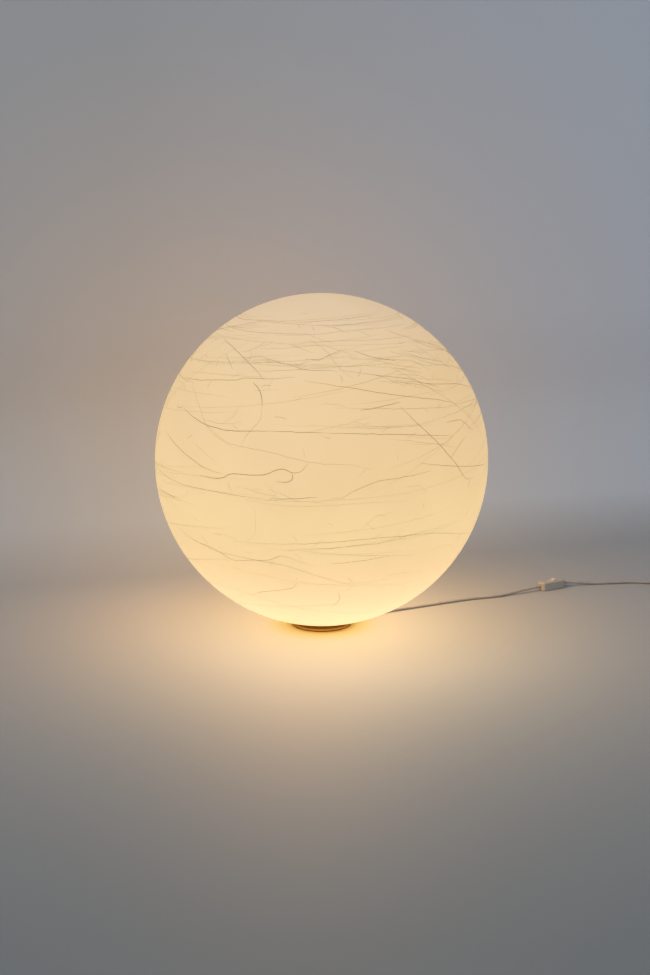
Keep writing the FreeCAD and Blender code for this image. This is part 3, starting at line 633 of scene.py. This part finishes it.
# ---- chromed dish -------------------------------------------------------------------
# Spun from 1.2 mm steel, plated with nickel and chrome, and polished. It mirrors the lit
# floor, and the polishing mop has left faint rings round its axis. Below 10 mm its colour
# holds a painted reflection: dark brown on the upper part of its side for the globe's dim
# orange underside, mirrored in the dish's shoulder, and light orange at its foot for the
# orange-lit floor close by.
POLISHING_RING = 0.8 * MM  # drawn coarser than the real ones, to show at all
FINGER_SMUDGE = 14 * MM
PAINTED_REFLECTION_TOP = 10 * MM  # above it, the chrome is plain

chrome, tree, shader = new_material("polished_chrome_plate", Metallic=1.0)
place = add(tree, "TexCoord").outputs["Object"]
xyz = add(tree, "SeparateXYZ", None, {0: place})
up_dish = add(tree, "MapRange", None, {"Value": xyz.outputs["Z"], "From Max": PAINTED_REFLECTION_TOP})
# Painted reflection by height: light orange at the foot, dark brown higher on the side, and plain
# chrome above.
painted_reflection = add(tree, "ValToRGB", None, {"Fac": up_dish.outputs["Result"]})
painted_reflection.color_ramp.elements[0].position = 0.22
painted_reflection.color_ramp.elements[0].color = srgb("DDB478")
painted_reflection.color_ramp.elements[1].color = srgb("C0BFBD")
painted_reflection.color_ramp.elements.new(0.42).color = srgb("866636")
painted_reflection.color_ramp.elements.new(0.58).color = srgb("6A4D24")
painted_reflection.color_ramp.elements.new(0.85).color = srgb("6A5228")
tree.links.new(painted_reflection.outputs["Color"], shader.inputs["Base Color"])
smudge = add(tree, "TexNoise", None, {"Vector": place, "Scale": 1 / FINGER_SMUDGE, "Detail": 4.0})
haze = add(tree, "MapRange", None, {
    "Value": smudge.outputs["Fac"],
    "From Min": 0.35,
    "From Max": 0.75,
    "To Min": 0.05,
    "To Max": 0.14,
})
tree.links.new(haze.outputs["Result"], shader.inputs["Roughness"])
rings = add(tree, "TexWave", {"wave_type": "RINGS", "rings_direction": "Z"}, {
    "Vector": place,
    "Scale": math.pi / 10 / POLISHING_RING,
    "Distortion": 0.6,
})
bump = add(tree, "Bump", None, {
    "Height": rings.outputs["Fac"],
    "Strength": 0.05,
    "Distance": 0.01 * MM,
})
tree.links.new(bump.outputs["Normal"], shader.inputs["Normal"])
dress(chrome, "base_dish")


# ---- gasket and foot ring -----------------------------------------------------------
# Two soft moulded rings: the globe stands on one and the lamp stands on the other. They are
# milky grey silicone rubber, dull, with a fine grain that holds dust.
def grained(name, dark, light, roughness, drift, grain, depth, **sockets):
    """A material whose colour drifts between two tones over the length of drift, with a
    grain of the given size and depth, and a roughness that wavers with the grain."""
    material, tree, shader = new_material(name, **sockets)
    place = add(tree, "TexCoord").outputs["Object"]
    patches = add(tree, "TexNoise", None, {"Vector": place, "Scale": 1 / drift, "Detail": 5.0})
    tones = add(tree, "ValToRGB", None, {"Fac": patches.outputs["Fac"]})
    tones.color_ramp.elements[0].position = 0.32
    tones.color_ramp.elements[0].color = srgb(dark)
    tones.color_ramp.elements[1].position = 0.68
    tones.color_ramp.elements[1].color = srgb(light)
    tree.links.new(tones.outputs["Color"], shader.inputs["Base Color"])
    grains = add(tree, "TexNoise", None, {"Vector": place, "Scale": 1 / grain, "Detail": 3.0})
    waver = add(tree, "MapRange", None, {
        "Value": grains.outputs["Fac"],
        "From Min": 0.3,
        "From Max": 0.7,
        "To Min": 0.85 * roughness,
        "To Max": min(1.0, 1.15 * roughness),
    })
    tree.links.new(waver.outputs["Result"], shader.inputs["Roughness"])
    bump = add(tree, "Bump", None, {
        "Height": grains.outputs["Fac"],
        "Strength": 0.35,
        "Distance": depth,
    })
    tree.links.new(bump.outputs["Normal"], shader.inputs["Normal"])
    return material


silicone = grained(
    "milky_silicone_rubber", "8A8780", "98958D", 0.75, 9 * MM, 0.5 * MM, 0.03 * MM, IOR=1.41
)
dress(silicone, "seat_gasket", "foot_ring")

# ---- ballast ring -------------------------------------------------------------------
# Grey iron, sand-cast and only turned on its two faces, then dipped in black primer. The
# sand leaves a coarse skin that scatters what little light reaches it.
cast_iron = grained(
    "primed_grey_cast_iron", "232325", "35353A", 0.8, 6 * MM, 0.9 * MM, 0.12 * MM, Metallic=0.3
)
dress(cast_iron, "ballast_ring")

# ---- cover plate and its screws -----------------------------------------------------
# A disc of 0.8 mm cold-rolled steel, brushed one way and zinc-plated, held by three small
# zinc-plated screws. The brushing draws its highlight out across the lines.
BRUSH_LINE = 0.35 * MM
BRUSH_LENGTH = 9 * MM

brushed, tree, shader = new_material("brushed_zinc_plated_sheet", Metallic=1.0)
place = add(tree, "TexCoord").outputs["Object"]
drawn_out = add(tree, "VectorMath", {"operation": "MULTIPLY"}, {
    0: place,
    1: (1 / BRUSH_LENGTH, 1 / BRUSH_LINE, 1 / BRUSH_LINE),
})
lines = add(tree, "TexNoise", None, {
    "Vector": drawn_out.outputs["Vector"],
    "Scale": 1.0,
    "Detail": 4.0,
})
tones = add(tree, "ValToRGB", None, {"Fac": lines.outputs["Fac"]})
tones.color_ramp.elements[0].color = srgb("A3A5A8")
tones.color_ramp.elements[1].color = srgb("C3C5C8")
tree.links.new(tones.outputs["Color"], shader.inputs["Base Color"])
waver = add(tree, "MapRange", None, {
    "Value": lines.outputs["Fac"],
    "To Min": 0.28,
    "To Max": 0.48,
})
tree.links.new(waver.outputs["Result"], shader.inputs["Roughness"])
bump = add(tree, "Bump", None, {
    "Height": lines.outputs["Fac"],
    "Strength": 0.3,
    "Distance": 0.01 * MM,
})
tree.links.new(bump.outputs["Normal"], shader.inputs["Normal"])
dress(brushed, "base_cover")

zinc = grained(
    "bright_zinc_plate", "AEB2B8", "C6C6C0", 0.32, 3 * MM, 0.4 * MM, 0.01 * MM, Metallic=1.0
)
dress(zinc, "cover_screws", "clamp_screws", "holder_lock_screw")
dress(zinc, "switch_screws", "switch_rocker_pin")

# ---- hollow thread, washer and nut --------------------------------------------------
# The M10 x 1 tube that holds the lampholder on the dish is rolled from zinc-plated steel.
# Its thread is too fine to be a shape here, so it is a ribbed skin with the real pitch.
NIPPLE_PITCH = 1.0 * MM

rolled, tree, shader = new_material("rolled_fine_thread", Metallic=1.0, Roughness=0.34)
shader.inputs["Base Color"].default_value = srgb("B9BCC0")
place = add(tree, "TexCoord").outputs["Object"]
ribs = add(tree, "TexWave", {"wave_type": "BANDS", "bands_direction": "Z"}, {
    "Vector": place,
    "Scale": math.pi / 10 / NIPPLE_PITCH,
})
bump = add(tree, "Bump", None, {
    "Height": ribs.outputs["Fac"],
    "Strength": 0.9,
    "Distance": 0.5 * NIPPLE_PITCH,
})
tree.links.new(bump.outputs["Normal"], shader.inputs["Normal"])
dress(rolled, "threaded_nipple")
dress(zinc, "nipple_washer", "nipple_nut")

# ---- flex clamp and core leads ------------------------------------------------------
# The saddle that holds the flex in the ballast is natural nylon, cream and slightly waxy.
# The two cores past it are sheathed in glossy PVC, one brown and one blue.
nylon = grained(
    "natural_nylon", "D6D0BC", "E0DBC8", 0.5, 5 * MM, 0.6 * MM, 0.02 * MM, IOR=1.53
)
dress(nylon, "cord_clamp", "switch_cord_grips")

EXIT_DEG = 27.3  # of the flex's way out of the dish, from +X towards +Y

core_pvc, tree, shader = new_material("brown_and_blue_core_pvc", Roughness=0.3, IOR=1.53)
place = add(tree, "TexCoord").outputs["Object"]
exit_a = math.radians(EXIT_DEG)
aside = add(tree, "VectorMath", {"operation": "DOT_PRODUCT"}, {
    0: place,
    1: (-math.sin(exit_a), math.cos(exit_a), 0),
})
is_blue = add(tree, "Math", {"operation": "GREATER_THAN"}, {0: aside.outputs["Value"], 1: 0.0})
speckle = add(tree, "TexNoise", None, {"Vector": place, "Scale": 1 / (2 * MM), "Detail": 2.0})
browns = add(tree, "MixRGB", None, {
    "Fac": speckle.outputs["Fac"],
    "Color1": srgb("5A3420"),
    "Color2": srgb("6B4029"),
})
blues = add(tree, "MixRGB", None, {
    "Fac": speckle.outputs["Fac"],
    "Color1": srgb("2C5C9C"),
    "Color2": srgb("3A6CAE"),
})
core = add(tree, "MixRGB", None, {
    "Fac": is_blue.outputs["Value"],
    "Color1": browns.outputs["Color"],
    "Color2": blues.outputs["Color"],
})
tree.links.new(core.outputs["Color"], shader.inputs["Base Color"])
dress(core_pvc, "core_leads")

# ---- lampholder ---------------------------------------------------------------------
# Cap and skirt are compression-moulded thermoset, white and glossy, with the grain of the
# powder in it. The insert that carries the contacts is dry-pressed steatite, dull and cream.
thermoset = grained(
    "white_thermoset", "D9D6CD", "E3E0D8", 0.26, 7 * MM, 0.7 * MM, 0.02 * MM, IOR=1.55
)
dress(thermoset, "holder_cap", "holder_body")
steatite = grained(
    "pressed_steatite", "D8D2C2", "E6E1D3", 0.6, 2.5 * MM, 0.35 * MM, 0.03 * MM, IOR=1.6
)
dress(steatite, "holder_insert")
brass = grained(
    "pressed_brass", "C9A24E", "DCBB6C", 0.3, 4 * MM, 0.5 * MM, 0.01 * MM, Metallic=1.0
)
dress(brass, "holder_terminal_screws", "holder_centre_contact")
dress(brass, "switch_contact_bridge", "switch_terminals")

# ---- screw sleeves of holder and bulb -----------------------------------------------
# Both are thin metal spun and then rolled into a 27 mm knuckle thread, so that the wall
# waves in and out: brass in the lampholder, and nickel-plated brass on the bulb.
BULB_THREAD_PITCH = 3.62 * MM
THREAD_FADE = 2.0 * MM  # over which the thread starts and ends
SLEEVE_WALL = 0.35 * MM
SLEEVE_STEP = 0.45 * MM
HOLDER_THREAD_DEPTH = 0.35 * MM
BULB_THREAD_DEPTH = 0.9 * MM


def turned_mesh(name, outline, sides=72, thread=None):
    """A closed outline of (radius, height) corners, turned round Z. The thread is its lowest
    and highest point and its depth: there, the radius waves inwards along a helix."""
    vertices = []
    for radius, height in outline:
        for k in range(sides):
            a = 2 * math.pi * k / sides
            r = radius
            if thread:
                start, end, depth = thread
                fade = min(height - start, end - height) / THREAD_FADE
                fade = min(1.0, max(0.0, fade))
                wave = (1 - math.cos(2 * math.pi * height / BULB_THREAD_PITCH - a)) / 2
                r -= depth * fade * wave
            vertices.append((r * math.cos(a), r * math.sin(a), height))
    faces = []
    rows = len(outline)
    for i in range(rows):
        for k in range(sides):
            j = (i + 1) % rows
            m = (k + 1) % sides
            faces.append((i * sides + k, i * sides + m, j * sides + m, j * sides + k))
    piece = new_mesh_object(name, vertices, faces)
    piece.data.set_sharp_from_angle(angle=math.radians(35))
    return piece


def sleeve_outline(spine):
    """A spine of (radius, height) points, cut into short steps, as a sheet with a wall."""
    steps = []
    for (r0, z0), (r1, z1) in zip(spine, spine[1:]):
        count = max(1, round(math.hypot(r1 - r0, z1 - z0) / SLEEVE_STEP))
        for i in range(count):
            steps.append((r0 + (r1 - r0) * i / count, z0 + (z1 - z0) * i / count))
    steps.append(spine[-1])
    inside = []
    last = len(steps) - 1
    for i, (radius, height) in enumerate(steps):
        before = steps[max(i - 1, 0)]
        after = steps[min(i + 1, last)]
        along = Vector((after[0] - before[0], after[1] - before[1])).normalized()
        inside.append((radius - along.y * SLEEVE_WALL, height + along.x * SLEEVE_WALL))
    return steps + inside[::-1]


holder_low, holder_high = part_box("holder_thread_shell")
HOLDER_SLEEVE_R = holder_high.x
holder_sleeve = turned_mesh(
    "holder_rolled_sleeve",
    sleeve_outline([
        (11.0 * MM, holder_low.z),
        (HOLDER_SLEEVE_R - 0.6 * MM, holder_low.z),
        (HOLDER_SLEEVE_R, holder_low.z + 0.6 * MM),
        (HOLDER_SLEEVE_R, holder_high.z),
    ]),
    thread=(holder_low.z + 3 * MM, holder_high.z - 0.8 * MM, HOLDER_THREAD_DEPTH),
)
holder_sleeve.data.materials.append(brass)
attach(holder_sleeve, "root")
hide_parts("holder_thread_shell")

nickel_brass = grained(
    "nickel_plated_brass", "BDB8AC", "CCC8BE", 0.25, 5 * MM, 0.5 * MM, 0.01 * MM, Metallic=1.0
)
bulb_cap_low, bulb_cap_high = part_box("bulb_cap_shell")
BULB_CAP_R = bulb_cap_high.x
bulb_cap = turned_mesh(
    "bulb_rolled_cap",
    sleeve_outline([
        (9.65 * MM, bulb_cap_low.z),
        (BULB_CAP_R - 0.5 * MM, bulb_cap_low.z + 1.7 * MM),
        (BULB_CAP_R, bulb_cap_low.z + 2.3 * MM),
        (BULB_CAP_R, bulb_cap_high.z),
    ]),
    thread=(bulb_cap_low.z + 2.0 * MM, bulb_cap_high.z - 3.0 * MM, BULB_THREAD_DEPTH),
)
bulb_cap.data.materials.append(nickel_brass)
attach(bulb_cap, "bulb")
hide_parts("bulb_cap_shell")
dress(nickel_brass, "bulb_centre_contact")

# ---- bulb ---------------------------------------------------------------------------
# The cap's insulator is black glass. The housing is moulded over its heat sink in white
# polyester, the board is white-masked aluminium, and the dome is opal polycarbonate, lit.
black_glass = grained(
    "black_cap_glass", "0E0D10", "17161A", 0.12, 3 * MM, 0.8 * MM, 0.02 * MM, IOR=1.52
)
dress(black_glass, "bulb_cap_insulator")
polyester = grained(
    "moulded_white_polyester", "DEDCD6", "E8E6E1", 0.42, 8 * MM, 0.5 * MM, 0.02 * MM, IOR=1.57
)
dress(polyester, "bulb_housing")
solder_mask = grained(
    "white_solder_mask", "E4E4E0", "F0F0EC", 0.5, 2 * MM, 0.3 * MM, 0.01 * MM, IOR=1.5
)
dress(solder_mask, "bulb_led_board")

opal, tree, shader = new_material("lit_opal_polycarbonate", Roughness=0.4, IOR=1.58)
shader.inputs["Base Color"].default_value = srgb("D8D3C8")
dome_low, dome_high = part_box("bulb_diffuser")
place = add(tree, "TexCoord").outputs["Object"]
xyz = add(tree, "SeparateXYZ", None, {0: place})
rise = add(tree, "MapRange", None, {
    "Value": xyz.outputs["Z"],
    "From Min": dome_low.z,
    "From Max": dome_high.z,
})
lit = add(tree, "ValToRGB", None, {"Fac": rise.outputs["Result"]})
lit.color_ramp.elements[0].color = srgb("D9A868")
lit.color_ramp.elements[1].position = 0.6
lit.color_ramp.elements[1].color = srgb("F4D7A8")
tree.links.new(lit.outputs["Color"], shader.inputs["Emission Color"])
shader.inputs["Emission Strength"].default_value = 0.8
dress(opal, "bulb_diffuser")

# ---- flex ---------------------------------------------------------------------------
# Round two-core flex, 4.6 mm, sheathed in soft, pale grey PVC. It leaves the dish through
# its bush, passes the in-line switch, and its spare length lies in a tied coil.
FLEX_D = 4.6 * MM
LIE = FLEX_D / 2 + 0.05 * MM  # the height of its middle where it lies on the floor
EXIT_Z = 4.5 * MM
DISH_R = 45.0 * MM
SWITCH_AT = Vector((380.1, 188.4, 0)) * MM
SWITCH_DEG = 30.0
SWITCH_HALF = 23.0 * MM
SWITCH_AXIS_Z = 6.5 * MM
COIL_START = Vector((592.0, 212.0, 3.6)) * MM
COIL_R = 28.7 * MM
COIL_PITCH = 5.15 * MM
COIL_LAYERS = (3, 3, 3, 2)  # half turns in each, besides the one that climbs to the next
POINTS_A_HALF_TURN = 8
PLUG_AXIS_Z = 7.0 * MM
PLUG_FLEX_ENDS_X = 0.667


def along_exit(r, z):
    """The point this far from the lamp's axis, on the flex's straight way out."""
    a = math.radians(EXIT_DEG)
    return Vector((r * math.cos(a), r * math.sin(a), z))


def along_switch(x, z):
    """The point this far past the switch's middle, on the line that the switch lies on."""
    a = math.radians(SWITCH_DEG)
    return Vector((SWITCH_AT.x + x * math.cos(a), SWITCH_AT.y + x * math.sin(a), z))


def coil_points():
    """Control points round the coil's turns, and the place where they end."""
    radii = []
    climbs = []
    radius = COIL_R
    drift = -COIL_PITCH / 2
    for layer, half_turns in enumerate(COIL_LAYERS):
        for _ in range(half_turns):
            radii.append(radius)
            climbs.append(0.0)
            radius += drift
        if layer < len(COIL_LAYERS) - 1:
            radii.append(radius)
            climbs.append(COIL_PITCH)
            drift = -drift
            radius += drift
    points = []
    here = COIL_START
    heading = 1
    step = math.pi / POINTS_A_HALF_TURN
    for radius, climb in zip(radii, climbs):
        across = Vector((0, -heading * 2 * radius, climb))
        bulge = Vector((heading * across.length / 2, 0, 0))
        for i in range(POINTS_A_HALF_TURN):
            a = (i + 0.5) * step
            out = -across / 2 * math.cos(a) + bulge * math.sin(a)
            points.append(here + across / 2 + out / math.cos(step / 2))
        here = here + across
        heading = -heading
    return points, here


lamp_side = [
    along_exit(26 * MM, EXIT_Z),
    along_exit(88 * MM, EXIT_Z),
    Vector((0.1340, 0.0696, LIE)),
    Vector((0.1910, 0.0982, LIE)),
    Vector((0.2320, 0.1192, LIE)),
    Vector((0.2620, 0.1300, LIE)),
    Vector((0.2860, 0.1365, LIE)),
    Vector((0.3080, 0.1503, 0.0030)),
    along_switch(-SWITCH_HALF - 24 * MM, SWITCH_AXIS_Z),
    along_switch(-SWITCH_HALF + 9 * MM, SWITCH_AXIS_Z),
]
turns, coil_end = coil_points()
wall_side = [
    along_switch(SWITCH_HALF - 9 * MM, SWITCH_AXIS_Z),
    along_switch(SWITCH_HALF + 9 * MM, SWITCH_AXIS_Z),
    Vector((0.4275, 0.2066, 0.0048)),
    Vector((0.4550, 0.2115, LIE)),
    Vector((0.4870, 0.2150, LIE)),
    Vector((0.5180, 0.2205, LIE)),
    Vector((0.5435, 0.2156, LIE)),
    Vector((0.5680, COIL_START.y, COIL_START.z)),
    *turns,
    coil_end + Vector((0.026, 0, 0)),
    Vector((coil_end.x + 0.053, coil_end.y, PLUG_AXIS_Z)),
    Vector((PLUG_FLEX_ENDS_X, coil_end.y, PLUG_AXIS_Z)),
]


def new_flex(name, points, replaced):
    """A round flex on a smooth spline, in place of the nodes along it."""
    curve = bpy.data.curves.new(name, "CURVE")
    curve.dimensions = "3D"
    curve.bevel_depth = 1.0  # times each point's radius
    curve.bevel_resolution = 4
    curve.use_fill_caps = True
    spline = curve.splines.new("NURBS")
    spline.points.add(len(points) - 1)
    for target, point in zip(spline.points, points):
        target.co = (*point, 1)
        target.radius = FLEX_D / 2
    spline.order_u = 3
    spline.use_endpoint_u = True
    spline.resolution_u = 8
    flex = bpy.data.objects.new(name, curve)
    bpy.context.collection.objects.link(flex)
    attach(flex, "root")
    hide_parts(*replaced)
    return flex


pvc = grained(
    "extruded_pvc_sheath", "9A9796", "A7A4A2", 0.4, 12 * MM, 1.2 * MM, 0.02 * MM, IOR=1.53
)
flex_to_switch = new_flex("flex_lamp_side", lamp_side, ["cord_lamp_side"])
flex_to_plug = new_flex(
    "flex_wall_side", wall_side, ["cord_wall_side", "cord_coil", "cord_plug_end"]
)
for flex in (flex_to_switch, flex_to_plug):
    flex.data.materials.append(pvc)

# ---- bush and strain relief ---------------------------------------------------------
# Soft PVC moulded round the flex. A groove on it grips the dish's wall, and its tapered tail
# is cut by rings, so that it bends evenly and the flex doesn't kink at the dish.
BUSH_BORE_R = FLEX_D / 2 + 0.05 * MM
BUSH_R = 3.3 * MM
BUSH_TIP_R = 2.8 * MM
BUSH_TAIL = (47.0 * MM, 71.0 * MM)  # from the lamp's axis, as are the next two
BUSH_COLLAR = (42.4 * MM, 43.7 * MM)  # inside the dish's wall
BUSH_FACE = DISH_R + 0.1 * MM  # outside it
BUSH_COLLAR_R = 3.1 * MM
BUSH_GROOVE_R = 2.8 * MM
RINGS = 8
RING_FIRST = 1.8 * MM  # from the start of the tail
RING_STEP = 2.7 * MM
RING_CUT = 1.0 * MM
RING_DEPTH = 0.32 * MM
RING_SLANT = 0.15 * MM


def tail_r(x):
    """The tapered tail's radius, this far from the lamp's axis."""
    start, end = BUSH_TAIL
    return BUSH_R + (BUSH_TIP_R - BUSH_R) * (x - start) / (end - start)


relief_outline = [
    (BUSH_BORE_R, BUSH_COLLAR[0]),
    (BUSH_COLLAR_R, BUSH_COLLAR[0]),
    (BUSH_COLLAR_R, BUSH_COLLAR[1]),
    (BUSH_GROOVE_R, BUSH_COLLAR[1]),
    (BUSH_GROOVE_R, BUSH_FACE),
    (BUSH_R, BUSH_FACE),
    (BUSH_R, BUSH_TAIL[0]),
]
for i in range(RINGS):
    x = BUSH_TAIL[0] + RING_FIRST + i * RING_STEP
    relief_outline += [
        (tail_r(x), x),
        (tail_r(x) - RING_DEPTH, x + RING_SLANT),
        (tail_r(x) - RING_DEPTH, x + RING_CUT - RING_SLANT),
        (tail_r(x + RING_CUT), x + RING_CUT),
    ]
relief_outline += [(BUSH_TIP_R, BUSH_TAIL[1]), (BUSH_BORE_R, BUSH_TAIL[1])]
strain_relief = turned_mesh("strain_relief", relief_outline, sides=40)
axis = along_exit(1.0, 0.0)
aside = Vector((-axis.y, axis.x, 0))
turn = Matrix((aside, Vector((0, 0, 1)), axis)).transposed().to_4x4()
strain_relief.data.transform(Matrix.Translation((0, 0, EXIT_Z)) @ turn)
bush_pvc = grained(
    "moulded_soft_pvc", "918E8C", "9D9A97", 0.55, 8 * MM, 0.6 * MM, 0.02 * MM, IOR=1.53
)
strain_relief.data.materials.append(bush_pvc)
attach(strain_relief, "root")
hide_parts("cord_bush")

# ---- in-line switch -----------------------------------------------------------------
# Two halves of injection-moulded ABS, pale grey with a spark-eroded grain, and a smoother
# rocker of the same plastic. The joint between the halves shows as a thin dark line.
housing_abs = grained(
    "spark_grained_abs", "A09D97", "ABA8A2", 0.48, 9 * MM, 0.45 * MM, 0.03 * MM, IOR=1.53
)
dress(housing_abs, "switch_top_shell", "switch_base_shell")
rocker_abs = grained(
    "smooth_abs", "B5B1A9", "BEBAB2", 0.3, 6 * MM, 0.8 * MM, 0.01 * MM, IOR=1.53
)
dress(rocker_abs, "switch_rocker")

# ---- tie and plug -------------------------------------------------------------------
# A flat polypropylene tie holds the coil. The plug is moulded in one piece with its flex, of
# firm PVC, and its nickel-plated pins have moulded sleeves.
tie_plastic = grained(
    "polypropylene_tie", "C6C3BA", "D2CFC7", 0.5, 4 * MM, 0.4 * MM, 0.02 * MM, IOR=1.49
)
dress(tie_plastic, "cord_tie")
plug_pvc = grained(
    "moulded_firm_pvc", "B9B4AB", "C6C1B8", 0.42, 10 * MM, 0.5 * MM, 0.03 * MM, IOR=1.53
)
dress(plug_pvc, "plug_body")
dress(nickel_brass, "plug_pins")
sleeve_plastic = grained(
    "pin_sleeve_polyester", "9C9992", "A8A59E", 0.45, 4 * MM, 0.4 * MM, 0.01 * MM, IOR=1.57
)
dress(sleeve_plastic, "plug_pin_sleeves")

# ---- the flex in the lamp's own light -----------------------------------------------
# The lamp's stretch ends in the switch. The wall's stretch leaves it, lies in the tied coil
# and ends in the plug. Both stretches and the bush cast shadows in the glow and are lit by it.
for piece in (flex_to_switch, flex_to_plug, strain_relief):
    casting.objects.link(piece)
    lit_by_glow.objects.link(piece)

# ---- size ---------------------------------------------------------------------------
low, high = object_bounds()
